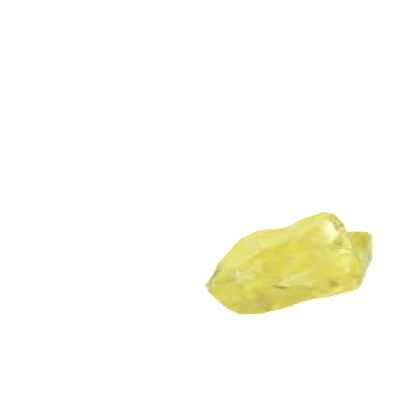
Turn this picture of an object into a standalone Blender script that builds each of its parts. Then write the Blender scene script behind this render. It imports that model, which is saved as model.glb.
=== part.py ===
"""Raw citrine: one loose chunk of clear yellow quartz, broken from a larger crystal.

The chunk is a single solid. Broken quartz has no cleavage: it parts along
smooth shell-shaped fractures that meet in sharp ridges. The stone is made the
same way here. A blank is cut along flat fracture faces, a stepped notch sets
the knob off from the lower shoulder behind it, and shallow dishes and small
chips are scooped out with spheres.

Every face and every scoop is placed from one point inside the stone, its
heart, by a bearing (degrees round the vertical, 0 along +X, 90 along +Y), a
tilt (degrees above the horizontal) and a distance. Lengths are in millimetres
and become metres when the mesh is made. The finished stone stands on its flat
resting face with its origin in the middle of its footprint.
"""

from math import cos, radians, sin
from typing import NamedTuple

import bmesh
import bpy
from mathutils import Matrix, Vector

MM = 0.001
STONE_NAME = "citrine_chunk"

# The heart stands this far above the resting face.
HEART_HEIGHT = 9.0

# Side of the cube that the stone is cut from, and of the blocks that cut it.
BLANK_SIDE = 80.0
CUTTER_SIDE = 120.0

# Spheres of at least this radius are finely divided, the smaller ones coarsely.
LARGE_RADIUS = 10.0
LARGE_DIVISIONS = 6
SMALL_DIVISIONS = 3

# Points closer than this are one point.
MERGE_DISTANCE = 0.00002

CITRINE_COLOUR = (0.84, 0.74, 0.10, 1.0)
CITRINE_ROUGHNESS = 0.08
CITRINE_IOR = 1.544
CITRINE_TRANSMISSION = 0.9


class Face(NamedTuple):
    """A flat fracture: the direction it faces and its distance from the heart."""

    name: str
    bearing: float
    tilt: float
    distance: float


class Scoop(NamedTuple):
    """A shell-shaped fracture: a sphere outside the stone that bites into it.

    distance is from the heart to the nearest point of the sphere.
    """

    name: str
    bearing: float
    tilt: float
    distance: float
    radius: float


FACES = (
    Face("resting face", 0, -90, HEART_HEIGHT),
    Face("lower front band", -68.8, 9.4, 7.4),
    Face("main front face", -67, 33, 6.0),
    Face("right front face", -64, 22, 6.6),
    Face("upper slope", -116, 75, 9.4),
    Face("upper left slope", -132, 72, 9.9),
    Face("left tip", -170, 37, 19.9),
    Face("left underside", -165, -42.2, 19.25),
    Face("left foot", -153.5, -56.4, 17.0),
    Face("front foot", -96.5, -71.3, 12.4),
    Face("front underside", -60, -62, 10.7),
    Face("right side", -24, 8, 17.2),
    Face("right underside", -12, -36, 18.7),
    Face("right rear", 40, 14, 26.7),
    Face("rear right wall", 66, -8, 20.0),
    Face("rear wall", 86, 8, 13.8),
    Face("upper rear", 115, 39, 10.2),
    Face("left rear corner", 126, 44, 11.4),
    Face("left rear", 155, 26, 14.6),
)

# The knob stands up inside its own faces, and the shoulder behind it lies
# lower. What is outside both of them is broken away.
KNOB_FACES = (
    Face("knob side", -1, 24, 17.2),
    Face("knob corner", 7, 42, 17.7),
    Face("knob top", 54, 64, 16.4),
)
SHOULDER_FACES = (
    Face("shoulder front", -44, 48, 9.0),
    Face("shoulder top", 106, 57, 7.2),
)

# Broad dishes, each open at an edge of its face as a struck flake leaves it.
DISHES = (
    Scoop("right front dish", -61.5, 21, 5.7, 60),
    Scoop("lower band dish", -70.5, 2.9, 7.72, 110),
    Scoop("upper slope dish", -112.5, 77.5, 8.4, 55),
    Scoop("upper left dish", -146.5, 58, 11.4, 40),
    Scoop("knob hollow", -48, 41.5, 7.5, 30),
    Scoop("left tip dish", -164, 14, 21.2, 12),
    Scoop("top edge dip", 119, 65, 10.3, 14),
    Scoop("front edge dip", -86, 68, 7.9, 7),
    Scoop("front underside dish", -59, -60, 10.3, 40),
    Scoop("rear dish", 101.5, 0, 12.9, 38),
    Scoop("rear right dish", 74, 4, 17.0, 30),
    Scoop("rear left dish", 152, 22, 13.9, 35),
    Scoop("upper rear dish", 112, 36, 9.5, 40),
    Scoop("right end dish", 42, -4, 25.6, 28),
)

# Small chips: a crushed edge down the knob, a row of chatter marks on the
# main face, and a few lost corners at the back.
CHIPS = (
    Scoop("knob chip 1", 13.4, 44.0, 14.95, 3.0),
    Scoop("knob chip 2", 10.8, 36.7, 14.49, 2.1),
    Scoop("knob chip 3", 11.6, 32.3, 15.86, 2.1),
    Scoop("knob chip 4", -0.9, 27.8, 13.0, 3.9),
    Scoop("knob chip 5", -9.3, 20.7, 12.3, 4.9),
    Scoop("knob chip 6", 20.8, 53.3, 15.0, 3.0),
    Scoop("knob chip 7", 2.3, 20.1, 15.1, 2.6),
    Scoop("chatter mark 1", -131.7, 12.5, 16.85, 4.0),
    Scoop("chatter mark 2", -130.0, 14.5, 15.35, 3.9),
    Scoop("chatter mark 3", -127.3, 17.1, 13.7, 4.1),
    Scoop("chatter mark 4", -126.7, 20.0, 12.45, 3.4),
    Scoop("left chip", -149.8, 10.8, 23.2, 2.6),
    Scoop("foot chip", -23.2, -16.9, 13.45, 3.0),
    Scoop("right chip", -8.9, -12.6, 17.25, 2.2),
    Scoop("rear chip 1", 118, -16, 20.9, 4.0),
    Scoop("rear chip 2", 70, -24, 19.6, 3.0),
    Scoop("rear chip 3", 55, 35, 18.2, 4.0),
    Scoop("rear chip 4", 140, 4, 19.5, 3.0),
)


def clear_scene():
    """Remove every object that the scene starts with."""
    for thing in list(bpy.data.objects):
        bpy.data.objects.remove(thing, do_unlink=True)


def direction(bearing, tilt):
    """Unit vector at a bearing and a tilt, both in degrees."""
    around = radians(bearing)
    rise = radians(tilt)
    return Vector((cos(around) * cos(rise), sin(around) * cos(rise), sin(rise)))


def make_collection(name):
    """New collection, linked to the scene."""
    collection = bpy.data.collections.new(name)
    bpy.context.scene.collection.children.link(collection)
    return collection


def make_object(name, bm, collection):
    """Turn a bmesh into an object in a collection."""
    mesh = bpy.data.meshes.new(name)
    bm.to_mesh(mesh)
    bm.free()
    thing = bpy.data.objects.new(name, mesh)
    collection.objects.link(thing)
    return thing


def cut_flat(bm, face, keep_inside):
    """Slice a closed mesh along a fracture face and cap the cut.

    keep_inside keeps the heart's side of the face, otherwise the far side.
    """
    normal = direction(face.bearing, face.tilt)
    cut = bmesh.ops.bisect_plane(
        bm,
        geom=bm.verts[:] + bm.edges[:] + bm.faces[:],
        plane_co=normal * face.distance * MM,
        plane_no=normal,
        clear_outer=keep_inside,
        clear_inner=not keep_inside,
    )
    rim = [item for item in cut["geom_cut"] if isinstance(item, bmesh.types.BMEdge)]
    if rim:
        bmesh.ops.edgeloop_fill(bm, edges=rim)
        bmesh.ops.recalc_face_normals(bm, faces=bm.faces[:])


def make_blank(collection):
    """The stone's flat faces: a cube about the heart, sliced along each of them."""
    bm = bmesh.new()
    bmesh.ops.create_cube(bm, size=BLANK_SIDE * MM)
    for face in FACES:
        cut_flat(bm, face, keep_inside=True)
    return make_object(STONE_NAME, bm, collection)


def make_step_cutter(knob_face, shoulder_face, collection):
    """Wedge of what lies outside one knob face and outside one shoulder face."""
    bm = bmesh.new()
    bmesh.ops.create_cube(bm, size=CUTTER_SIDE * MM)
    cut_flat(bm, knob_face, keep_inside=False)
    cut_flat(bm, shoulder_face, keep_inside=False)
    return make_object(f"{knob_face.name} over {shoulder_face.name}", bm, collection)


def make_scoop_cutter(scoop, collection):
    """Sphere whose nearest point is the floor of the scoop."""
    large = scoop.radius >= LARGE_RADIUS
    bm = bmesh.new()
    bmesh.ops.create_icosphere(
        bm,
        subdivisions=LARGE_DIVISIONS if large else SMALL_DIVISIONS,
        radius=scoop.radius * MM,
    )
    centre = direction(scoop.bearing, scoop.tilt) * (scoop.distance + scoop.radius) * MM
    bmesh.ops.translate(bm, vec=centre, verts=bm.verts[:])
    return make_object(scoop.name, bm, collection)


def cut_away(stone, cutter):
    """Take a cutter out of the stone and hide it as a guide."""
    cutter.hide_render = True
    cutter.display_type = "WIRE"
    modifier = stone.modifiers.new(cutter.name, "BOOLEAN")
    modifier.operation = "DIFFERENCE"
    modifier.solver = "EXACT"
    modifier.object = cutter


def apply_cuts(stone):
    """Replace the stone's mesh by its cut shape, with doubled points merged."""
    graph = bpy.context.evaluated_depsgraph_get()
    graph.update()
    cut_mesh = bpy.data.meshes.new_from_object(stone.evaluated_get(graph))
    stone.modifiers.clear()
    bm = bmesh.new()
    bm.from_mesh(cut_mesh)
    bmesh.ops.remove_doubles(bm, verts=bm.verts[:], dist=MERGE_DISTANCE)
    bmesh.ops.dissolve_degenerate(bm, edges=bm.edges[:], dist=MERGE_DISTANCE)
    bmesh.ops.triangulate(bm, faces=bm.faces[:])
    bm.to_mesh(stone.data)
    bm.free()
    bpy.data.meshes.remove(cut_mesh)


def stand_on_origin(stone):
    """Move the mesh so that the origin is the bottom centre of its box."""
    points = [vertex.co for vertex in stone.data.vertices]
    middle = [
        (min(point[axis] for point in points) + max(point[axis] for point in points)) / 2
        for axis in (0, 1)
    ]
    bottom = min(point.z for point in points)
    stone.data.transform(Matrix.Translation((-middle[0], -middle[1], -bottom)))


def make_citrine():
    """Clear lemon-yellow quartz."""
    material = bpy.data.materials.new("citrine")
    material.use_nodes = True
    shader = material.node_tree.nodes["Principled BSDF"]
    shader.inputs["Base Color"].default_value = CITRINE_COLOUR
    shader.inputs["Roughness"].default_value = CITRINE_ROUGHNESS
    shader.inputs["Metallic"].default_value = 0.0
    shader.inputs["IOR"].default_value = CITRINE_IOR
    shader.inputs["Transmission Weight"].default_value = CITRINE_TRANSMISSION
    return material


def main():
    """Cut the chunk from its blank and stand it on its resting face."""
    clear_scene()
    stone_collection = make_collection("raw_citrine")
    cutter_collection = make_collection("cutters")
    stone = make_blank(stone_collection)
    for knob_face in KNOB_FACES:
        for shoulder_face in SHOULDER_FACES:
            cut_away(stone, make_step_cutter(knob_face, shoulder_face, cutter_collection))
    for scoop in DISHES + CHIPS:
        cut_away(stone, make_scoop_cutter(scoop, cutter_collection))
    apply_cuts(stone)
    stand_on_origin(stone)
    stone.data.materials.append(make_citrine())


main()
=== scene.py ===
"""Raw citrine: the looks of one loose chunk of clear lemon-yellow quartz.

The chunk is one closed surface about its heart, a point well inside it. Every
fracture of the solid, flat or dished, is worked out again here as the reach of
a ray from the heart, and the nearest fracture wins. The rims of the fractures
then get fine chips, the dishes their shell ripples, and the faces their frost.
Lengths are in millimetres until the mesh is made.
"""

import logging
from dataclasses import dataclass, field
from enum import Enum

import bpy
import numpy as np
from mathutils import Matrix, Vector


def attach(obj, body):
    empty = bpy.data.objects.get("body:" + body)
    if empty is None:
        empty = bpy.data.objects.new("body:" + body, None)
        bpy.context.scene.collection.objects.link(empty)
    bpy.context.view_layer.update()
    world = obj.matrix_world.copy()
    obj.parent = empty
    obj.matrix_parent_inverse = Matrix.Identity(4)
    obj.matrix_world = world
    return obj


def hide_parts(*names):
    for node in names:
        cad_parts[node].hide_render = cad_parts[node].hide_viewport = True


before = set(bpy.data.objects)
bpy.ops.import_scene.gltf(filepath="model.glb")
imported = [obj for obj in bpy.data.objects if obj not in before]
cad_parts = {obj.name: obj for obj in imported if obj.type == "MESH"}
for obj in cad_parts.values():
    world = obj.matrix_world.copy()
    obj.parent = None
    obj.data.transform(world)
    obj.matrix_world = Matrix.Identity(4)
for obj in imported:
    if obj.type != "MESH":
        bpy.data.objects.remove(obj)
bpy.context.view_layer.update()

MM = 0.001
NODE = "citrine_chunk"
BODY = "root"

# The heart, in mm from the middle of the footprint.
HEART = np.array((-0.507, 0.824, 9.0))

VERTICAL = (0.0, 0.0, 1.0)
HALF_TURN = 180.0

# A ray that never meets a fracture reaches this far.
FAR = 1000.0

# A ray misses a flat fracture that faces it less than this.
GRAZING = 1e-6

# A ray misses a small chip that faces it less than this.
FACING_LEAST = 0.15

# A mark's relief grows along slanting rays to no more than one over this.
FACING_MARK = 0.3

# Two reaches closer than this meet in a ridge.
RIDGE_GAP = 0.12

# A mark acts only on what lies this near to its plane.
MARK_DEPTH = 3.0

# Powers and exponentials are taken of no more than these.
APART_MOST = 40.0
WINDOW_MOST = 30.0
BANK_MOST = 40.0

# What a mark adds to the looks, and all that the finish reads from the surface. Besides the stone's own
# colour, haze also paints highlights, murk also paints shade, and gold also paints lighter and darker tones.
TINTS = ("frost", "gold_and_shading", "haze_and_sheen", "murk_and_shade")
LAYERS = (*TINTS, "ridge", "crush")

log = logging.getLogger("citrine")


class Cut(Enum):
    """The two kinds of fracture."""

    FLAT = "flat"
    DISHED = "dished"


@dataclass(frozen=True)
class Fracture:
    """One fracture of the stone, placed from the heart.

    A flat one is a plane at a distance. A dished one is a sphere of a radius
    outside the stone, whose nearest point is at the distance. Ripples are
    rings, a wavelength apart, round the place where it was struck: a bearing,
    a tilt and a reach from its middle. Ragged is the unevenness of a chip's
    sphere. Lengths are in mm and angles in degrees.
    """

    name: str
    bearing: float
    tilt: float
    distance: float
    radius: float = 0.0
    ripple: float = 0.0
    wavelength: float = 2.0
    struck: tuple[float, float] = (180.0, 40.0)
    struck_reach: float = 11.0
    ragged: float = 0.0
    frost: float = 0.10
    gold_and_shading: float = 0.3

    @property
    def cut(self) -> Cut:
        """Flat without a radius, dished with one."""
        return Cut.DISHED if self.radius else Cut.FLAT

    @property
    def normal(self) -> np.ndarray:
        """Unit vector from the heart towards the fracture."""
        return direction(self.bearing, self.tilt)


def direction(bearing: float, tilt: float) -> np.ndarray:
    """Unit vector at a bearing round the vertical and a tilt above the horizontal.

    Args:
        bearing: degrees, 0 along +X and 90 along +Y.
        tilt: degrees above the horizontal.

    Returns:
        The vector's three components.
    """
    around, rise = np.radians((bearing, tilt))
    return np.array((np.cos(around) * np.cos(rise), np.sin(around) * np.cos(rise), np.sin(rise)))


# The resting face comes first, because its edge is rounded apart from the rest.
# A fracture's gold sets its tone: partly the stone's own colour depth, partly painted light and shade, paler
# on the upper slopes and more golden on the front and lower faces.
FACES = (
    Fracture("resting face", 0, -90, 9.0, frost=0.2),
    Fracture("lower front band", -68.8, 9.4, 7.4, frost=0.12, gold_and_shading=0.8),
    Fracture("main front face", -67, 33, 6.0, frost=0.12, gold_and_shading=0.8, ripple=0.01, wavelength=3.0),
    Fracture("right front face", -64, 22, 6.6, frost=0.2, gold_and_shading=0.5),
    Fracture("upper slope", -116, 75, 9.4, frost=0.3, gold_and_shading=0.1),
    Fracture("upper left slope", -132, 72, 9.9, frost=0.3, gold_and_shading=0.1),
    Fracture("left tip", -170, 37, 19.9),
    Fracture("left underside", -165, -42.2, 19.25, gold_and_shading=0.7),
    Fracture("left foot", -153.5, -56.4, 17.0, gold_and_shading=0.7),
    Fracture("front foot", -96.5, -71.3, 12.4, gold_and_shading=0.6),
    Fracture("front underside", -60, -62, 10.7, gold_and_shading=0.6),
    Fracture("right side", -24, 8, 17.2, frost=0.1, gold_and_shading=0.7),
    Fracture("right underside", -12, -36, 18.7),
    Fracture("right rear", 40, 14, 26.7),
    Fracture("rear right wall", 66, -8, 20.0),
    Fracture("rear wall", 86, 8, 13.8),
    Fracture("upper rear", 115, 39, 10.2),
    Fracture("left rear corner", 126, 44, 11.4),
    Fracture("left rear", 155, 26, 14.6),
)

KNOB_FACES = (
    Fracture("knob side", -1, 24, 17.2),
    Fracture("knob corner", 7, 42, 17.7),
    Fracture("knob top", 54, 64, 16.4),
)
SHOULDER_FACES = (
    Fracture("shoulder front", -44, 48, 9.0),
    Fracture("shoulder top", 106, 57, 7.2),
)

DISHES = (
    Fracture("right front dish", -61.5, 21, 5.7, 60, ripple=0.012, wavelength=2.6, frost=0.16, gold_and_shading=0.6),
    Fracture("lower band dish", -70.5, 2.9, 7.72, 110, ripple=0.01, wavelength=2.2, gold_and_shading=0.9),
    Fracture("upper slope dish", -112.5, 77.5, 8.4, 55, ripple=0.01, wavelength=2.4, frost=0.3, gold_and_shading=0.1),
    Fracture("upper left dish", -146.5, 58, 11.4, 40, ripple=0.012, wavelength=1.9, frost=0.28, gold_and_shading=0.1),
    Fracture(
        "knob hollow", -48, 41.5, 7.5, 30,
        ripple=0.005, wavelength=0.7, struck=(51, 12), struck_reach=5.9, frost=0.2, gold_and_shading=0.7,
    ),
    Fracture("left tip dish", -164, 14, 21.2, 12),
    Fracture("top edge dip", 119, 65, 10.3, 14),
    Fracture("front edge dip", -86, 68, 7.9, 7),
    Fracture("front underside dish", -59, -60, 10.3, 40),
    Fracture("rear dish", 101.5, 0, 12.9, 38, ripple=0.02, wavelength=2.2),
    Fracture("rear right dish", 74, 4, 17.0, 30, ripple=0.015, wavelength=1.8),
    Fracture("rear left dish", 152, 22, 13.9, 35, ripple=0.015, wavelength=2.0),
    Fracture("upper rear dish", 112, 36, 9.5, 40, ripple=0.02, wavelength=2.4),
    Fracture("right end dish", 42, -4, 25.6, 28),
)

CHIPS = (
    Fracture("knob chip 1", 13.4, 44.0, 14.95, 3.0, ragged=0.12, frost=0.2),
    Fracture("knob chip 2", 10.8, 36.7, 14.49, 2.1, ragged=0.1, frost=0.2),
    Fracture("knob chip 3", 11.6, 32.3, 15.86, 2.1, ragged=0.1, frost=0.2),
    Fracture("knob chip 4", -0.9, 27.8, 13.0, 3.9, ragged=0.1, frost=0.2),
    Fracture("knob chip 5", -9.3, 20.7, 12.3, 4.9, ragged=0.1, frost=0.2),
    Fracture("knob chip 6", 20.8, 53.3, 15.0, 3.0, ragged=0.1, frost=0.2),
    Fracture("knob chip 7", 2.3, 20.1, 15.1, 2.6, ragged=0.1, frost=0.2),
    Fracture("chatter mark 1", -131.7, 12.5, 16.85, 4.0, ragged=0.08),
    Fracture("chatter mark 2", -130.0, 14.5, 15.35, 3.9, ragged=0.08),
    Fracture("chatter mark 3", -127.3, 17.1, 13.7, 4.1, ragged=0.08),
    Fracture("chatter mark 4", -126.7, 20.0, 12.45, 3.4, ragged=0.08),
    Fracture("left chip", -149.8, 10.8, 23.2, 2.6, ragged=0.1),
    Fracture("foot chip", -23.2, -16.9, 13.45, 3.0, ragged=0.1),
    Fracture("right chip", -8.9, -12.6, 17.25, 2.2, ragged=0.1),
    Fracture("rear chip 1", 118, -16, 20.9, 4.0),
    Fracture("rear chip 2", 70, -24, 19.6, 3.0),
    Fracture("rear chip 3", 55, 35, 18.2, 4.0),
    Fracture("rear chip 4", 140, 4, 19.5, 3.0),
)


class Form(Enum):
    """What a mark does to the surface."""

    STAIN = "stain"
    CHATTER = "chatter"
    LEDGE = "ledge"
    HOLLOW = "hollow"
    SWEEP = "sweep"


@dataclass(frozen=True)
class Mark:
    """One local mark on the surface, placed where a ray from the heart meets it.

    Its length and width are half sizes in mm in the plane that touches the
    stone there, turned from the horizontal by a number of degrees. Height and
    wavelength, in mm, belong to its form. It adds its tints at its middle, and
    the greater its crispness, the harder its edge.
    """

    name: str
    bearing: float
    tilt: float
    turn: float
    length: float
    width: float
    form: Form = Form.STAIN
    height: float = 0.0
    wavelength: float = 1.0
    haze_and_sheen: float = 0.0
    gold_and_shading: float = 0.0
    murk_and_shade: float = 0.0
    frost: float = 0.0
    crisp: float = 1.0


MARKS = (
    Mark("chatter patch", -137.8, 10.4, 20, 3.6, 1.7, Form.CHATTER, 0.12, 0.8, haze_and_sheen=0.2, frost=0.1, crisp=2),
    Mark("chatter glint", -140.2, 7.4, 15, 1.3, 0.8, Form.HOLLOW, 0.06, haze_and_sheen=0.6, frost=0.15),
    Mark("iron spot", -128.1, 14.7, -20, 1.4, 1.1, gold_and_shading=0.8),
    Mark("wing splinter", -74.0, -18.0, -18, 5.0, 1.6, Form.LEDGE, 0.25, haze_and_sheen=0.3),
    # Painted shade: a dark line under the wing's step, where shade falls.
    Mark("wing tip", -107.5, -12.8, -14, 2.0, 0.42, Form.HOLLOW, 0.14, murk_and_shade=0.95, crisp=2),
    Mark("wing shade", -53.0, -26.5, -18, 3.0, 0.28, Form.HOLLOW, 0.06, murk_and_shade=0.5),
    Mark("green depth", -122.4, -20.9, 0, 2.6, 2.6, murk_and_shade=0.38, crisp=2),
    Mark("yellow glint", -112.8, -31.6, 10, 1.2, 0.6, haze_and_sheen=0.1, gold_and_shading=-1.4, crisp=2),
    # Painted shade: the narrow strip at the left end, facing away, is darkened.
    Mark("left strip", -149.0, 5.8, 152, 3.0, 1.0, murk_and_shade=0.95, frost=0.1),
    Mark("tip shade", -143.4, 2.8, 60, 1.0, 0.6, murk_and_shade=0.3),
    Mark("dark seed", -17.8, -18.4, 20, 1.1, 0.9, Form.HOLLOW, 0.08, murk_and_shade=0.9, crisp=1.5),
    Mark("right veil", -0.5, 3.7, 10, 2.6, 1.1, haze_and_sheen=0.6),
    Mark("right speck", -3.4, -4.0, 0, 0.7, 0.6, haze_and_sheen=0.8),
    Mark("low speck", -4.6, -14.8, 40, 0.9, 0.5, haze_and_sheen=0.8),
    Mark("foot glint", -15.3, -21.0, 12, 1.6, 0.4, haze_and_sheen=0.6, gold_and_shading=-0.8),
    Mark("edge veil", -33.0, -31.8, 14, 3.2, 0.6, haze_and_sheen=0.6),
    Mark("band gold", -72.0, -33.0, 14, 2.4, 0.8, gold_and_shading=0.3),
    Mark("iron thread", 4.6, 1.2, 80, 2.2, 0.4, gold_and_shading=1.0, murk_and_shade=0.2),
    Mark("knob sweep", 17.0, 39.4, -52, 3.3, 1.65, Form.SWEEP, 0.5),
    # Painted highlight: a whitish-blue spot on the knob's hollow, beside the glint lamp's real reflection
    # there.
    Mark("knob painted highlight", 15.6, 37.8, -52, 2.9, 1.8, haze_and_sheen=0.88, crisp=1.3),
    Mark("knob arc 4", 14.6, 25.0, -60, 1.1, 0.22, Form.HOLLOW, 0.14, haze_and_sheen=0.6, crisp=2),
    Mark("knob arc 5", 13.2, 21.6, -75, 1.0, 0.2, Form.HOLLOW, 0.14, haze_and_sheen=0.6, crisp=2),
    # Painted shade: thin dark lines along the knob's crease.
    Mark("knob line 1", 18.0, 28.6, -55, 1.2, 0.14, Form.HOLLOW, 0.1, murk_and_shade=0.6, crisp=2),
    Mark("knob line 2", 21.2, 34.2, -50, 1.2, 0.14, Form.HOLLOW, 0.1, murk_and_shade=0.6, crisp=2),
    Mark("hollow veil", 5.0, 40.0, 0, 3.2, 3.0, haze_and_sheen=0.2),
    Mark("knob arc 1", 19.5, 31.0, -50, 1.0, 0.2, Form.HOLLOW, 0.12, haze_and_sheen=0.9, crisp=2),
    Mark("knob arc 2", 22.7, 37.4, -50, 1.0, 0.2, Form.HOLLOW, 0.12, haze_and_sheen=0.9, crisp=2),
    Mark("knob arc 3", 16.4, 29.0, -55, 0.8, 0.2, Form.HOLLOW, 0.1, haze_and_sheen=0.9, crisp=2),
    # Painted light: the left end and its flank are made paler, to even out the darker tone the light gives
    # them.
    Mark("pale end", -138.0, -3.0, 10, 6.5, 3.6, gold_and_shading=-0.9),
    Mark("pale flank", -142.0, 12.0, 25, 6.0, 3.0, gold_and_shading=-0.65),
    Mark("wing streak", -83.1, -3.3, 4, 5.6, 0.5, Form.HOLLOW, -0.06, haze_and_sheen=0.7),
    Mark("wing root", -103.7, -8.8, -20, 1.8, 0.35, haze_and_sheen=0.8),
    Mark("wing fill", -71.8, -12.0, -5, 3.6, 1.5, haze_and_sheen=0.15),
    Mark("wing seed", -110.1, -1.9, 10, 1.0, 0.3, murk_and_shade=0.5),
    Mark("right haze", -4.0, 22.0, 60, 8.0, 4.6, gold_and_shading=0.15, haze_and_sheen=0.17),
    Mark("upper left veil", 178.6, 36.1, 20, 5.0, 2.0, haze_and_sheen=0.15),
    Mark("crest veil", 100.0, 68.0, 15, 6.0, 1.6, haze_and_sheen=0.4),
    Mark("edge shade", -126.0, 52.0, 30, 4.5, 0.8, murk_and_shade=0.3),
    Mark("crescent", 12.6, 20.6, 110, 1.5, 0.45, haze_and_sheen=0.8),
    Mark("lower arc", 6.4, 16.3, 40, 1.3, 0.3, haze_and_sheen=0.8),
    # Painted highlight: a bluish-white spot on the knob's lower cheek.
    Mark("cheek painted highlight", 2.7, 13.5, 5, 1.3, 0.6, haze_and_sheen=0.6),
    Mark("cheek line", 3.0, 23.5, 50, 1.6, 0.15, Form.HOLLOW, 0.05, murk_and_shade=0.4),
    Mark("chip depth", 12.3, 22.6, 0, 1.25, 1.15, Form.HOLLOW, 0.22, gold_and_shading=1.0, murk_and_shade=0.25, crisp=2),
    Mark("shoulder line", 26.0, 14.6, 0, 3.0, 0.35, murk_and_shade=0.15, gold_and_shading=0.6),
    # Partly painted light: a pale zone on the shoulder, which also lifts the shade at the knob's step.
    Mark("shoulder pillar", 11.2, 7.6, 80, 2.6, 1.2, gold_and_shading=-0.6, haze_and_sheen=0.15),
    Mark("end shade", 18.0, 1.5, 80, 3.8, 1.8, murk_and_shade=0.55, gold_and_shading=0.8),
    Mark("shoulder depth", 19.2, 11.0, 0, 2.2, 0.8, gold_and_shading=0.3),
)


@dataclass(frozen=True)
class Trail:
    """A run of small chips from one bearing and tilt to another.

    The chips stray from the line by a spread in degrees. Their half lengths
    and depths lie between two values in mm, and lean is how much they slope.
    """

    name: str
    start: tuple[float, float]
    end: tuple[float, float]
    count: int
    spread: float
    sizes: tuple[float, float]
    depths: tuple[float, float]
    lean: float


TRAILS = (
    Trail("knob crease", (22.5, 43.5), (14.0, 29.0), 10, 0.7, (0.4, 0.7), (0.12, 0.24), 0.5),
    Trail("knob chain", (26.5, 43.5), (16.5, 25.0), 16, 1.5, (0.45, 0.8), (0.16, 0.3), 0.7),
    Trail("cheek lines", (9.0, 24.0), (-1.5, 22.0), 4, 0.6, (0.7, 1.2), (0.05, 0.1), 0.3),
    Trail("lower knob", (6.0, 17.0), (0.0, 12.0), 4, 1.0, (0.6, 1.0), (0.06, 0.14), 0.3),
    Trail("right ridge", (8.0, 8.0), (-8.0, -20.0), 6, 0.8, (0.8, 1.6), (0.06, 0.15), 0.3),
    Trail("left strip", (-150.0, 12.0), (-145.0, 0.0), 4, 0.6, (0.8, 1.4), (0.05, 0.12), 0.3),
)


@dataclass(frozen=True)
class WaveNoise:
    """Smooth noise in space: a sum of sine waves in seeded directions."""

    seed: int
    count: int
    longest: float
    shortest: float

    def at(self, points: np.ndarray) -> np.ndarray:
        """Noise of about unit height.

        The value at a point is the sum of sin(k . p + phase) over all waves,
        times the square root of two over their count.

        Args:
            points: array of n by 3 places in mm.

        Returns:
            Array of n values.
        """
        random = np.random.default_rng(self.seed)
        ways = random.normal(size=(self.count, 3))
        ways /= np.linalg.norm(ways, axis=1, keepdims=True)
        lengths = np.geomspace(self.longest, self.shortest, self.count)
        phases = random.uniform(0, 2 * np.pi, self.count)
        waves = points @ (ways * (2 * np.pi / lengths)[:, None]).T + phases
        return np.sin(waves).sum(axis=1) * np.sqrt(2 / self.count)


@dataclass(frozen=True)
class Touch:
    """The plane that touches the stone at one place, with its own two directions."""

    place: np.ndarray
    normal: np.ndarray
    across: np.ndarray
    up: np.ndarray

    def spot(self, points: np.ndarray) -> tuple[np.ndarray, np.ndarray]:
        """Distances along the two directions, in mm from the place."""
        away = points - self.place
        return away @ self.across, away @ self.up


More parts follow.
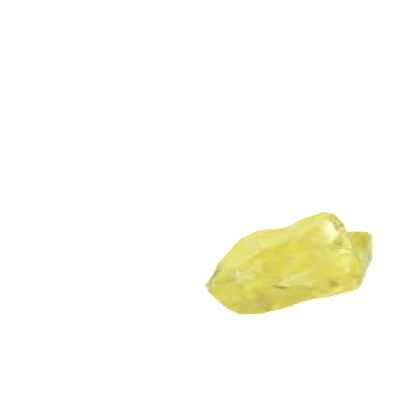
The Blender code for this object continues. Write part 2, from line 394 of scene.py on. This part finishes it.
@dataclass
class StoneShape:
    """The chunk as the reach of rays from its heart.

    Edges are rounded by a softness in mm. Swell and grain are the surface's
    own unevenness, and warp makes the outlines of chips and marks uneven.
    """

    edge_softness: float = 0.05
    foot_softness: float = 0.3
    swell: WaveNoise = WaveNoise(seed=11, count=14, longest=16.0, shortest=5.0)
    swell_height: float = 0.05
    grain: WaveNoise = WaveNoise(seed=23, count=36, longest=3.2, shortest=0.8)
    grain_height: float = 0.006
    warp: WaveNoise = WaveNoise(seed=31, count=12, longest=5.0, shortest=1.6)
    warp_reach: float = 0.18
    feel: float = 0.045
    chip_power: float = 1.3
    chip_widths: tuple[float, float] = (0.5, 0.9)
    chip_range: float = 3.0
    chip_widest: float = 1.2
    nick_seed: int = 5
    nick_count: int = 70
    nick_sizes: tuple[float, float] = (0.6, 1.8)
    nick_depths: tuple[float, float] = (0.02, 0.09)
    nick_lean: float = 0.3
    nick_clearance: float = 1.0
    rest_height: float = 0.3
    chatter_slants: tuple[float, float] = (0.45, 0.7)
    chatter_rate: float = 0.8
    chatter_shift: float = 1.0
    chatter_share: float = 0.6
    cliff_width: float = 0.06
    ledge_least: float = 0.3
    sweep_squareness: int = 4
    sweep_run: float = 2.4
    sweep_power: float = 1.4
    bank_width: float = 0.25
    ridge_width: float = 0.2
    crush_depth: float = 0.25
    face_blend: float = 0.25

    def reach_of(self, fracture: Fracture, rays: np.ndarray) -> np.ndarray:
        """How far each ray goes before it meets one fracture.

        For a flat fracture that is distance over the cosine to its normal. For
        a dished one it is the nearer root of the ray and sphere equation, where
        noise can change the radius. The ripples are added as a sine wave of the
        distance from the point that was struck.

        Args:
            fracture: the fracture that is met.
            rays: array of n by 3 unit vectors.

        Returns:
            Array of n lengths in mm, FAR where the ray misses.
        """
        normal = fracture.normal
        if fracture.cut is Cut.FLAT:
            facing = rays @ normal
            reach = np.where(facing > GRAZING, fracture.distance / np.maximum(facing, GRAZING), FAR)
        else:
            centre = normal * (fracture.distance + fracture.radius)
            along = rays @ centre
            radius = fracture.radius
            if fracture.ragged:
                radius = radius + fracture.ragged * self.warp.at(rays * fracture.distance)
            inside = along**2 - centre @ centre + radius**2
            reach = np.where((inside > 0) & (along > 0), along - np.sqrt(np.maximum(inside, 0)), FAR)
        reach = np.minimum(reach, FAR)
        if fracture.ripple:
            origin = normal * fracture.distance + direction(*fracture.struck) * fracture.struck_reach
            away = np.linalg.norm(rays * reach[:, None] - origin, axis=1)
            rings = np.sin(2 * np.pi * away / fracture.wavelength)
            reach = reach + np.where(reach < FAR, fracture.ripple * rings, 0)
        return reach

    def nearest(self, reaches: np.ndarray, softness: float) -> np.ndarray:
        """Soft minimum down the rows: minus softness times the log of the summed exponentials.

        Args:
            reaches: rows of reaches in mm.
            softness: how far from an edge the rounding begins, in mm.

        Returns:
            One reach for each column.
        """
        least = reaches.min(axis=0)
        terms = np.exp(-(reaches - least) / softness)
        return least - softness * np.log(terms.sum(axis=0))

    def stacked(self, fractures: tuple[Fracture, ...], rays: np.ndarray) -> np.ndarray:
        """Reaches of several fractures, one row for each."""
        return np.stack([self.reach_of(fracture, rays) for fracture in fractures])

    def reaches(self, rays: np.ndarray) -> tuple[np.ndarray, list[Fracture]]:
        """Reach of every fracture along every ray, with the knob over the shoulder.

        The knob and the shoulder together count as one fracture: the stone is
        there while a ray is inside the knob's faces or the shoulder's.

        Args:
            rays: array of n by 3 unit vectors.

        Returns:
            Rows of reaches, and the fracture that each row stands for.
        """
        knob = self.stacked(KNOB_FACES, rays).min(axis=0)
        shoulder = self.stacked(SHOULDER_FACES, rays).min(axis=0)
        step = np.maximum(knob, shoulder)
        singles = FACES + DISHES + CHIPS
        rows = np.vstack((self.stacked(singles, rays), step[None]))
        return rows, list(singles) + [SHOULDER_FACES[0]]

    def touch(self, way: np.ndarray, turn: float) -> Touch:
        """The plane that touches the unchipped stone along one ray.

        The normal is the cross product of two chords between rays a little to
        either side, so at a ridge it lies between the two faces. The first
        direction is level and the second rises, both turned by an angle.

        Args:
            way: unit vector from the heart.
            turn: degrees from the level.

        Returns:
            The place, the normal and the two directions.
        """
        side = np.cross(VERTICAL, way)
        side /= np.linalg.norm(side)
        rise = np.cross(way, side)
        steps = np.array((0 * way, side, -side, rise, -rise)) * self.feel
        ways = way + steps
        ways /= np.linalg.norm(ways, axis=1, keepdims=True)
        rows, _ = self.reaches(ways)
        felt = ways * rows.min(axis=0)[:, None]
        normal = np.cross(felt[1] - felt[2], felt[3] - felt[4])
        normal /= np.linalg.norm(normal)
        across = np.cross(VERTICAL, normal)
        across /= np.linalg.norm(across)
        up = np.cross(normal, across)
        angle = np.radians(turn)
        turned = across * np.cos(angle) + up * np.sin(angle)
        return Touch(felt[0], normal, turned, np.cross(normal, turned))

    def nick_ways(self, rays: np.ndarray, rows: np.ndarray, random: np.random.Generator) -> np.ndarray:
        """Rays through the ridges, picked by chance, for the small nicks.

        A ridge is where the two least reaches are nearly equal. Ridges close to
        the foot are left out.

        Args:
            rays: array of n by 3 unit vectors.
            rows: reaches of the fractures.
            random: the seeded source of the picks.

        Returns:
            Unit vectors, one for each nick.
        """
        ordered = np.partition(rows, 1, axis=0)
        close = ordered[1] - ordered[0] < RIDGE_GAP
        above_foot = rays[:, 2] * ordered[0] > self.nick_clearance - HEART[2]
        return rays[random.choice(np.flatnonzero(close & above_foot), self.nick_count)]

    def chips(self, rays: np.ndarray, rows: np.ndarray) -> list[tuple[Touch, np.ndarray]]:
        """Every small chip, from the trails and from the ridges.

        Args:
            rays: array of n by 3 unit vectors.
            rows: reaches of the fractures.

        Returns:
            For each chip its touching plane, and its half length, half width,
            depth and two leans.
        """
        random = np.random.default_rng(self.nick_seed)
        made = []
        for trail in TRAILS:
            for share in (np.arange(trail.count) + 0.5) / trail.count:
                stray = random.normal(size=2) * trail.spread
                at = np.array(trail.start) * (1 - share) + np.array(trail.end) * share + stray
                made.append((direction(*at), trail.sizes, trail.depths, trail.lean))
        for way in self.nick_ways(rays, rows, random):
            made.append((way, self.nick_sizes, self.nick_depths, self.nick_lean))
        chips = []
        for way, sizes, depths, lean in made:
            length = random.uniform(*sizes)
            width = length * random.uniform(*self.chip_widths)
            depth = random.uniform(*depths)
            leans = random.normal(size=2) * lean * depth / width
            plane = self.touch(way, random.uniform(0, HALF_TURN))
            chips.append((plane, np.array((length, width, depth, *leans))))
        return chips

    def bite(self, plane: Touch, sizes: np.ndarray, rays: np.ndarray) -> np.ndarray:
        """Reach of rays to the floor of one chip.

        The floor lies the chip's depth under the touching plane, leans both
        ways, and rises with a power of the squared distance from its middle,
        measured in half lengths along and half widths across.

        Args:
            plane: the touching plane.
            sizes: half length, half width, depth and two leans.
            rays: array of n by 3 unit vectors.

        Returns:
            Array of n lengths in mm.
        """
        length, width, depth, lean_along, lean_across = sizes
        facing = rays @ plane.normal
        level = plane.place @ plane.normal - depth
        flat = np.where(facing > FACING_LEAST, level / np.maximum(facing, FACING_LEAST), FAR)
        points = rays * flat[:, None]
        along, across = plane.spot(points)
        stray = self.warp.at(points) * self.warp_reach * length
        along = along + stray
        across = across - stray
        apart = (along / length) ** 2 + (across / width) ** 2
        rise = depth * np.minimum(apart, APART_MOST) ** self.chip_power
        rise = rise + lean_along * along + lean_across * across
        return np.where(flat < FAR, flat + rise / np.maximum(facing, FACING_LEAST), FAR)

    def chipped(self, rays: np.ndarray, rows: np.ndarray) -> tuple[np.ndarray, np.ndarray, np.ndarray]:
        """The reach after all chips, with how near each ray is to a ridge or a chip.

        Each chip is taken into the running soft minimum for the rays round it.
        The resting face comes in last, because its edge is rounded more.

        Args:
            rays: array of n by 3 unit vectors.
            rows: reaches of the fractures.

        Returns:
            The reach, the gap to the second least reach, and the depth bitten.
        """
        reach = self.nearest(rows[1:], self.edge_softness)
        ordered = np.partition(rows, 1, axis=0)
        least, second = ordered[0].copy(), ordered[1].copy()
        whole = least.copy()
        for plane, sizes in self.chips(rays, rows):
            way = plane.place / np.linalg.norm(plane.place)
            spread = self.chip_range * sizes[0] / np.linalg.norm(plane.place)
            near = np.flatnonzero(rays @ way > np.cos(min(spread, self.chip_widest)))
            bite = self.bite(plane, sizes, rays[near])
            reach[near] = self.nearest(np.stack((reach[near], bite)), self.edge_softness)
            second[near] = np.minimum(second[near], np.maximum(least[near], bite))
            least[near] = np.minimum(least[near], bite)
        reach = self.nearest(np.stack((reach, rows[0])), self.foot_softness)
        return reach, second - least, whole - least

    def chatter(self, mark: Mark, along: np.ndarray, across: np.ndarray) -> np.ndarray:
        """Chatter: the sum of two rows of sine waves that slant across each other.

        Args:
            mark: the mark.
            along: distances along it in mm.
            across: distances across it in mm.

        Returns:
            Shares of the mark's height.
        """
        pitch = 2 * np.pi / mark.wavelength
        first_slant, second_slant = self.chatter_slants
        first = np.sin(pitch * (along + first_slant * across))
        second = np.sin(pitch * self.chatter_rate * (along - second_slant * across) + self.chatter_shift)
        return self.chatter_share * first + self.chatter_share * second

    def ledge(self, mark: Mark, along: np.ndarray, across: np.ndarray) -> np.ndarray:
        """A ledge, which stands proud above its line and dies away upwards.

        It is one less the square of the distance along, times a steep logistic
        step at the line, times an exponential fall that is longest at one end.

        Args:
            mark: the mark.
            along: distances along it in mm.
            across: distances across it in mm.

        Returns:
            Heights in mm.
        """
        ends = np.clip(1 - (along / mark.length) ** 2, 0, 1)
        open_end = np.clip(0.5 + 0.5 * along / mark.length, 0, 1)
        cliff = 1 / (1 + np.exp(-across / self.cliff_width))
        fall = np.exp(-np.maximum(across, 0) / (mark.width * (self.ledge_least + open_end)))
        return mark.height * ends * cliff * fall

    def sweep(self, mark: Mark, along: np.ndarray, across: np.ndarray) -> np.ndarray:
        """A sweep, which rises from one side and drops back at a curved bank.

        The rise is a power of the share of the way to the bank, and the bank a
        logistic step whose line is the square root of the room left at the ends.

        Args:
            mark: the mark.
            along: distances along it in mm.
            across: distances across it in mm.

        Returns:
            Heights in mm.
        """
        ends = np.clip(1 - (along / mark.length) ** self.sweep_squareness, 0, 1)
        edge = mark.width * np.sqrt(ends)
        start = self.sweep_run * mark.width
        share = np.clip((across + start) / (edge + start), 0, 1)
        bank = 1 / (1 + np.exp(np.minimum((across - edge) / self.bank_width, BANK_MOST)))
        return mark.height * ends * share**self.sweep_power * bank

    def relief(self, mark: Mark, along: np.ndarray, across: np.ndarray, window: np.ndarray) -> np.ndarray:
        """Height of one mark's form. A hollow is the window itself, turned inwards.

        Args:
            mark: the mark.
            along: distances along it in mm.
            across: distances across it in mm.
            window: one at its middle, falling to nothing past its edge.

        Returns:
            Heights in mm outwards, nothing for a stain.
        """
        if mark.form is Form.CHATTER:
            return mark.height * window * self.chatter(mark, along, across)
        if mark.form is Form.LEDGE:
            return self.ledge(mark, along, across)
        if mark.form is Form.SWEEP:
            return self.sweep(mark, along, across)
        if mark.form is Form.HOLLOW:
            return -mark.height * window
        return np.zeros_like(window)

    def marked(self, points: np.ndarray) -> dict[str, np.ndarray]:
        """The relief and the tints that all marks give at each point.

        A mark's window is the exponential of minus a power of the squared
        distance from its middle, measured in its own half sizes.

        Args:
            points: array of n by 3 places in mm from the heart.

        Returns:
            Arrays of relief in mm and of the tints.
        """
        total = {name: np.zeros(len(points)) for name in ("relief", *TINTS)}
        stray = self.warp.at(points) * self.warp_reach
        for mark in MARKS:
            plane = self.touch(direction(mark.bearing, mark.tilt), mark.turn)
            along, across = plane.spot(points)
            apart = (along / mark.length + stray) ** 2 + (across / mark.width - stray) ** 2
            near = np.abs((points - plane.place) @ plane.normal) < MARK_DEPTH
            window = np.exp(-np.minimum(apart, WINDOW_MOST) ** mark.crisp) * near
            facing = np.maximum(points @ plane.normal / np.linalg.norm(points, axis=1), FACING_MARK)
            total["relief"] += self.relief(mark, along, across, window) * near / facing
            if mark.form is Form.LEDGE:
                window = window * (across > 0)
            for tint in TINTS:
                total[tint] += getattr(mark, tint) * window
        return total

    def surface(self, rays: np.ndarray) -> dict[str, np.ndarray]:
        """The finished surface along a set of rays.

        A point's own frost and gold are those of the fractures round it, shared
        out by the exponential of minus how much farther each one reaches.

        Args:
            rays: array of n by 3 unit vectors.

        Returns:
            The points in mm from the heart, and for each its tints, how near a
            ridge it is and how deep a chip has bitten.
        """
        rows, owners = self.reaches(rays)
        reach, gap, bitten = self.chipped(rays, rows)
        points = rays * reach[:, None]
        marks = self.marked(points)
        resting = points[:, 2] < -HEART[2] + self.rest_height
        swell = self.swell.at(points) * self.swell_height + self.grain.at(points) * self.grain_height
        lift = np.where(resting, 0, swell + marks["relief"])
        points = points * (1 + lift / reach)[:, None]
        share = np.exp(-(rows - rows.min(axis=0)) / self.face_blend)
        share /= share.sum(axis=0)
        for tint in ("frost", "gold_and_shading"):
            marks[tint] += np.array([getattr(owner, tint) for owner in owners]) @ share
        return {
            "points": points,
            **{tint: np.clip(marks[tint], 0, 1) for tint in TINTS},
            "ridge": np.exp(-gap / self.ridge_width),
            "crush": np.clip(bitten / self.crush_depth, 0, 1),
        }


@dataclass
class CitrineChunk:
    """The stone: one closed surface over a grid of two angles."""

    rings: int = 300
    around: int = 320
    half_length: float = 26.0
    half_width: float = 14.0
    half_height: float = 10.5
    grid_turn: float = 24.0
    crowding: float = 0.35
    crowded_turn: float = 150.0
    shape: StoneShape = field(default_factory=StoneShape)

    def rays(self) -> np.ndarray:
        """Unit vectors of the grid, with its poles at the stone's two ends.

        The first angle runs from pole to pole and the second goes round. The
        vectors point at an ellipsoid of the stone's proportions, which keeps
        the cells even, and the whole is turned about the vertical. The second
        angle less a share of the sine of its distance from one side crowds the
        cells towards the front and the top, where the fine chips are.

        Returns:
            The two poles' vectors, then those of the rings between them.
        """
        polar = np.linspace(0, np.pi, self.rings + 1)[1:-1]
        turn = np.arange(self.around) * 2 * np.pi / self.around
        turn = turn - self.crowding * np.sin(turn - np.radians(self.crowded_turn))
        polar, turn = np.meshgrid(polar, turn, indexing="ij")
        grid = np.stack(
            (
                -self.half_length * np.cos(polar),
                self.half_width * np.sin(polar) * np.cos(turn),
                self.half_height * np.sin(polar) * np.sin(turn),
            ),
            axis=-1,
        ).reshape(-1, 3)
        poles = np.array(((-1.0, 0, 0), (1.0, 0, 0)))
        rays = np.vstack((poles, grid))
        rays /= np.linalg.norm(rays, axis=1, keepdims=True)
        angle = np.radians(self.grid_turn)
        cos, sin = np.cos(angle), np.sin(angle)
        spin = np.array(((cos, -sin, 0), (sin, cos, 0), (0, 0, 1)))
        return rays @ spin.T

    def triangles(self) -> np.ndarray:
        """Join the grid up, with two triangles for each cell and a fan round each pole.

        Returns:
            Three corner numbers for each triangle.
        """
        first = 2 + np.arange((self.rings - 1) * self.around).reshape(self.rings - 1, self.around)
        a, b = first[:-1], np.roll(first[:-1], -1, axis=1)
        d, c = first[1:], np.roll(first[1:], -1, axis=1)
        halves = [np.stack(corners, -1).reshape(-1, 3) for corners in ((a, b, c), (a, c, d))]
        near, far = first[0], first[-1]
        start = np.stack((np.zeros_like(near), np.roll(near, -1), near), -1)
        end = np.stack((np.ones_like(far), far, np.roll(far, -1)), -1)
        return np.concatenate((*halves, start, end))

    def build(self) -> bpy.types.Object:
        """Work out the surface and put it into a mesh.

        Returns:
            The stone's object, at the origin.
        """
        made = self.shape.surface(self.rays())
        places = (made["points"] + HEART) * MM
        corners = self.triangles()
        mesh = bpy.data.meshes.new("citrine_stone")
        mesh.vertices.add(len(places))
        mesh.vertices.foreach_set("co", places.ravel())
        mesh.loops.add(corners.size)
        mesh.loops.foreach_set("vertex_index", corners.ravel())
        mesh.polygons.add(len(corners))
        mesh.polygons.foreach_set("loop_start", np.arange(0, corners.size, 3))
        mesh.update(calc_edges=True)
        mesh.validate()
        for name in LAYERS:
            layer = mesh.attributes.new(name, "FLOAT", "POINT")
            layer.data.foreach_set("value", made[name].astype(np.float32))
        mesh.shade_smooth()
        stone = bpy.data.objects.new("citrine_stone", mesh)
        bpy.context.scene.collection.objects.link(stone)
        return stone

    def dress(self, stone: bpy.types.Object, finish: "CitrineFinish") -> None:
        """Give the stone its finish and stand it in for the solid.

        Args:
            stone: the stone's object.
            finish: what it is made of.
        """
        stone.data.materials.append(finish.material())
        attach(stone, BODY)
        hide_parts(NODE)


# What a shader socket takes: another socket, a number, or a few of them.
Value = bpy.types.NodeSocket | float | tuple[float, ...] | np.ndarray

# Where the Mix node keeps its two colours and its result.
MIX_FIRST, MIX_SECOND, MIX_RESULT = 6, 7, 2

WHITE = (1.0, 1.0, 1.0, 1.0)


@dataclass(frozen=True)
class Clouds:
    """Cloudy noise on the piece's own coordinates, turned by degrees and stretched."""

    scale: float
    detail: float
    roughness: float
    distortion: float = 0.0
    turn: tuple[float, float, float] = (0.0, 0.0, 0.0)
    stretch: tuple[float, float, float] = (1.0, 1.0, 1.0)


@dataclass(frozen=True)
class Range:
    """Two values, and what they become. Values outside them are held at the ends."""

    low: float
    high: float
    start: float = 0.0
    end: float = 1.0


@dataclass
class Graph:
    """A node tree with short ways to add nodes and join them."""

    tree: bpy.types.NodeTree

    def add(self, kind: str, **values: str | bool) -> bpy.types.Node:
        """Add a node and set its properties.

        Args:
            kind: the node type's name without its ShaderNode prefix.
            values: the node's own properties.

        Returns:
            The node.
        """
        node = self.tree.nodes.new("ShaderNode" + kind)
        for name, value in values.items():
            setattr(node, name, value)
        return node

    def feed(self, socket: bpy.types.NodeSocket, value: Value) -> None:
        """Join a socket to another, or set it to a plain value.

        Args:
            socket: the socket that is fed.
            value: the other socket or the plain value.
        """
        if isinstance(value, bpy.types.NodeSocket):
            self.tree.links.new(value, socket)
        else:
            socket.default_value = value

    def wire(
        self, node: bpy.types.Node, values: dict[int | str, Value], outlet: int | str = 0
    ) -> bpy.types.NodeSocket:
        """Feed several of a node's sockets.

        Args:
            node: the node.
            values: what each input takes, by its place or name.
            outlet: the place or name of the output that is wanted.

        Returns:
            That output.
        """
        for place, value in values.items():
            self.feed(node.inputs[place], value)
        return node.outputs[outlet]

    def attribute(self, name: str) -> bpy.types.NodeSocket:
        """The value of one of the surface's own attributes."""
        return self.add("Attribute", attribute_name=name).outputs["Fac"]

    def maths(self, operation: str, first: Value, second: Value) -> bpy.types.NodeSocket:
        """One sum on two numbers."""
        return self.wire(self.add("Math", operation=operation), {0: first, 1: second})

    def spread(self, value: Value, span: Range) -> bpy.types.NodeSocket:
        """A value taken from one range to another."""
        parts = (value, span.low, span.high, span.start, span.end)
        return self.wire(self.add("MapRange", clamp=True), dict(enumerate(parts)))

    def blend(self, share: Value, first: Value, second: Value) -> bpy.types.NodeSocket:
        """A mix of two colours, by the share of the second."""
        node = self.add("Mix", data_type="RGBA", clamp_factor=True)
        return self.wire(node, {0: share, MIX_FIRST: first, MIX_SECOND: second}, MIX_RESULT)

    def noise(self, clouds: Clouds) -> bpy.types.NodeSocket:
        """Cloudy noise between nought and one.

        Args:
            clouds: its size, fineness, turn and stretch.

        Returns:
            The noise's socket.
        """
        place = self.add("TexCoord").outputs["Object"]
        turned = {"Vector": place, "Rotation": np.radians(clouds.turn), "Scale": clouds.stretch}
        values = {
            "Vector": self.wire(self.add("Mapping"), turned),
            "Scale": clouds.scale,
            "Detail": clouds.detail,
            "Roughness": clouds.roughness,
            "Distortion": clouds.distortion,
        }
        return self.wire(self.add("TexNoise"), values, "Fac")


@dataclass(frozen=True)
class CitrineFinish:
    """Milky lemon quartz: it lets light through, with veils and stains in it.

    Clouds and streaks change how golden it is, and wisps how hazy.
    """

    ior: float = 1.544
    transmission: float = 0.55
    specular_level: float = 0.35
    body_colour: tuple[float, float, float] = (0.93, 0.90, 0.01)
    body_density: float = 110.0
    scatter_weight: float = 1.0
    scatter_radius: tuple[float, float, float] = (1.0, 0.85, 0.3)
    scatter_scale: float = 0.004
    pale: tuple[float, float, float] = (0.87, 0.825, 0.085)
    golden: tuple[float, float, float] = (0.66, 0.585, 0.03)
    # The veil colour whitens haze, crushed chips and ridges, and also the painted highlights.
    veil_and_sheen: tuple[float, float, float] = (0.89, 0.91, 0.62)
    # The murk colour darkens inclusions and stains, and also the painted shade.
    murk_and_shade: tuple[float, float, float] = (0.36, 0.36, 0.02)
    cloud: Clouds = Clouds(95.0, 3.0, 0.55, 0.4)
    cloud_gold: Range = Range(0.35, 0.65, -0.2, 0.16)
    streak: Clouds = Clouds(260.0, 5.0, 0.6, 0.8, (0, -24, 24), (0.35, 1.3, 1.3))
    streak_gold: Range = Range(0.3, 0.7, -0.3, 0.3)
    wisp: Clouds = Clouds(330.0, 6.0, 0.62, 1.2, (10, 30, 24), (0.5, 1.4, 2.2))
    wisp_haze: Range = Range(0.5, 0.72, 0.04, 0.36)
    bruise_haze: Range = Range(0.3, 1.0, 0.55, 0.05)
    ridge_haze: float = 0.28
    patch: Clouds = Clouds(240.0, 6.0, 0.65, 0.5, (0, 0, 24), (0.6, 1, 1))
    patch_frost: Range = Range(0.35, 0.65, 0.9, 2.8)
    ridge_roughness: float = 0.22
    bruise_roughness: float = 0.25
    roughest: float = 0.26
    grain: Clouds = Clouds(1500.0, 4.0, 0.6)
    hackle: Clouds = Clouds(900.0, 3.0, 0.55, 0.6, (0, -20, 24), (0.25, 1.5, 1.5))
    bump_strength: float = 0.35
    bump_distance: float = 0.00003

    def tint(self, graph: Graph) -> bpy.types.NodeSocket:
        """The base colour: pale to golden by fracture and cloud, then veils, bruises and murk, with painted
        highlights and painted shade among them.

        Args:
            graph: the material's nodes.

        Returns:
            The colour's socket.
        """
        cloud = graph.spread(graph.noise(self.cloud), self.cloud_gold)
        streak = graph.spread(graph.noise(self.streak), self.streak_gold)
        depth = graph.maths("ADD", graph.attribute("gold_and_shading"), graph.maths("ADD", cloud, streak))
        colour = graph.blend(depth, (*self.pale, 1), (*self.golden, 1))
        wisps = graph.spread(graph.noise(self.wisp), self.wisp_haze)
        haze_and_sheen = graph.maths("ADD", graph.attribute("haze_and_sheen"), wisps)
        dull = graph.spread(graph.attribute("gold_and_shading"), self.bruise_haze)
        bruise = graph.maths("MULTIPLY", graph.attribute("crush"), dull)
        edge = graph.maths("MULTIPLY", graph.attribute("ridge"), self.ridge_haze)
        pallor = graph.maths("MAXIMUM", graph.maths("MAXIMUM", haze_and_sheen, bruise), edge)
        colour = graph.blend(pallor, colour, (*self.veil_and_sheen, 1))
        return graph.blend(graph.attribute("murk_and_shade"), colour, (*self.murk_and_shade, 1))

    def roughness(self, graph: Graph) -> bpy.types.NodeSocket:
        """Frost of the fracture times patches of it, rougher on edges and bruises, up to a limit.

        Args:
            graph: the material's nodes.

        Returns:
            The roughness's socket.
        """
        patches = graph.spread(graph.noise(self.patch), self.patch_frost)
        frost = graph.maths("MULTIPLY", graph.attribute("frost"), patches)
        worn = graph.maths("MULTIPLY", graph.attribute("ridge"), self.ridge_roughness)
        crushed = graph.maths("MULTIPLY", graph.attribute("crush"), self.bruise_roughness)
        rough = graph.maths("MAXIMUM", frost, graph.maths("MAXIMUM", worn, crushed))
        return graph.maths("MINIMUM", rough, self.roughest)

    def relief(self, graph: Graph) -> bpy.types.NodeSocket:
        """Fine grain and the drawn-out lines called hackle, as a bump.

        Args:
            graph: the material's nodes.

        Returns:
            The normal's socket.
        """
        height = graph.maths("ADD", graph.noise(self.grain), graph.noise(self.hackle))
        bump = {"Strength": self.bump_strength, "Distance": self.bump_distance, "Height": height}
        return graph.wire(graph.add("Bump"), bump)

    def material(self) -> bpy.types.Material:
        """Build the shader.

        Returns:
            The material.
        """
        made = bpy.data.materials.new("citrine_quartz")
        made.use_nodes = True
        made.node_tree.nodes.clear()
        graph = Graph(made.node_tree)
        output = graph.add("OutputMaterial")
        shader = graph.add("BsdfPrincipled", subsurface_method="RANDOM_WALK")
        skin = {
            "IOR": self.ior,
            "Transmission Weight": self.transmission,
            "Specular IOR Level": self.specular_level,
            "Subsurface Weight": self.scatter_weight,
            "Subsurface Radius": self.scatter_radius,
            "Subsurface Scale": self.scatter_scale,
            "Base Color": self.tint(graph),
            "Roughness": self.roughness(graph),
            "Normal": self.relief(graph),
        }
        graph.feed(output.inputs["Surface"], graph.wire(shader, skin))
        body = {"Color": (*self.body_colour, 1), "Density": self.body_density}
        graph.feed(output.inputs["Volume"], graph.wire(graph.add("VolumeAbsorption"), body))
        return made


@dataclass(frozen=True)
class FloorFinish:
    """A pale matt table, lit from within so that it stays white."""

    colour: tuple[float, float, float] = (0.30, 0.30, 0.30)
    shade: tuple[float, float, float] = (0.27, 0.27, 0.28)
    cloud: Clouds = Clouds(30.0, 4.0, 0.5)
    dullness: Range = Range(0.0, 1.0, 0.6, 0.8)
    glow: float = 0.86

    def material(self) -> bpy.types.Material:
        """Build the shader.

        Returns:
            The material.
        """
        made = bpy.data.materials.new("pale_table")
        made.use_nodes = True
        graph = Graph(made.node_tree)
        shader = made.node_tree.nodes["Principled BSDF"]
        cloud = graph.noise(self.cloud)
        skin = {
            "Base Color": graph.blend(cloud, (*self.colour, 1), (*self.shade, 1)),
            "Roughness": graph.spread(cloud, self.dullness),
            "Emission Color": WHITE,
            "Emission Strength": self.glow,
        }
        graph.wire(shader, skin)
        return made


@dataclass(frozen=True)
class Lamp:
    """One square light of a colour, which faces the stone from a bearing and a tilt.

    Its distance and its side are in metres.
    """

    name: str
    bearing: float
    tilt: float
    away: float
    size: float
    watts: float
    colour: tuple[float, float, float] = (1.0, 1.0, 1.0)


@dataclass
class Studio:
    """White floor, soft light and the camera.

    The floor and nearest_seen are in metres, and the lens and sensor in mm.
    """

    floor_size: float = 3.0
    floor_drop: float = 0.00002
    image_size: int = 400
    mm_per_pixel: float = 0.27
    lens: float = 100.0
    sensor: float = 36.0
    elevation: float = 20.0
    nearest_seen: float = 0.01
    heart_pixel: tuple[float, float] = (290.0, 265.0)
    world_strength: float = 0.66
    lamps: tuple[Lamp, ...] = (
        Lamp("overhead", -100, 80, 0.7, 0.6, 2.25),
        Lamp("key", -130, 45, 0.6, 0.4, 0.3),
        Lamp("front", -85, 10, 0.8, 0.5, 0.95),
        Lamp("glint", -59, 33, 0.5, 0.1, 0.7, (0.6, 0.8, 1.0)),
        Lamp("back", 100, 46, 0.7, 0.5, 0.9),
    )

    def build(self) -> None:
        """Set up the floor, the lights, the world and the camera."""
        self.make_floor()
        self.make_world()
        self.make_lights()
        self.make_camera()
        bpy.context.scene.view_settings.view_transform = "Standard"

    def make_floor(self) -> None:
        """A pale matt floor just under the stone."""
        half = self.floor_size / 2
        corners = ((-half, -half), (half, -half), (half, half), (-half, half))
        mesh = bpy.data.meshes.new("floor")
        mesh.from_pydata([(x, y, -self.floor_drop) for x, y in corners], [], [(0, 1, 2, 3)])
        floor = bpy.data.objects.new("floor", mesh)
        bpy.context.scene.collection.objects.link(floor)
        mesh.materials.append(FloorFinish().material())

    def make_world(self) -> None:
        """Even white surroundings."""
        world = bpy.data.worlds.new("white_room")
        world.use_nodes = True
        sky = world.node_tree.nodes["Background"]
        sky.inputs["Color"].default_value = WHITE
        sky.inputs["Strength"].default_value = self.world_strength
        bpy.context.scene.world = world

    def make_lights(self) -> None:
        """The lamps, each turned to face the stone."""
        for lamp in self.lamps:
            data = bpy.data.lights.new(lamp.name, "AREA")
            data.energy = lamp.watts
            data.size = lamp.size
            data.color = lamp.colour
            light = bpy.data.objects.new(lamp.name, data)
            light.location = Vector(direction(lamp.bearing, lamp.tilt) * lamp.away)
            light.rotation_euler = light.location.to_track_quat("Z", "Y").to_euler()
            bpy.context.scene.collection.objects.link(light)

    def make_camera(self) -> None:
        """Place the camera so that the heart falls on its pixel."""
        rise = np.radians(self.elevation)
        back = np.array((0, -np.cos(rise), np.sin(rise)))
        up = np.array((0, np.sin(rise), np.cos(rise)))
        right = np.array((1.0, 0, 0))
        middle = self.image_size / 2
        across = (middle - self.heart_pixel[0]) * self.mm_per_pixel
        raised = (self.heart_pixel[1] - middle) * self.mm_per_pixel
        aim = HEART + right * across + up * raised
        away = self.lens / self.sensor * self.mm_per_pixel * self.image_size
        data = bpy.data.cameras.new("camera")
        data.lens = self.lens
        data.sensor_width = self.sensor
        data.clip_start = self.nearest_seen
        camera = bpy.data.objects.new("camera", data)
        camera.location = Vector((aim + back * away) * MM)
        camera.rotation_mode = "QUATERNION"
        camera.rotation_quaternion = Vector(back).to_track_quat("Z", "Y")
        bpy.context.scene.collection.objects.link(camera)
        bpy.context.scene.camera = camera


def main() -> None:
    """Build the studio and the stone."""
    logging.basicConfig(level=logging.INFO, format="%(name)s: %(message)s")
    Studio().build()
    log.info("studio set")
    chunk = CitrineChunk()
    stone = chunk.build()
    chunk.dress(stone, CitrineFinish())
    log.info("stone: %d points", len(stone.data.vertices))


if __name__ == "__main__":
    main()
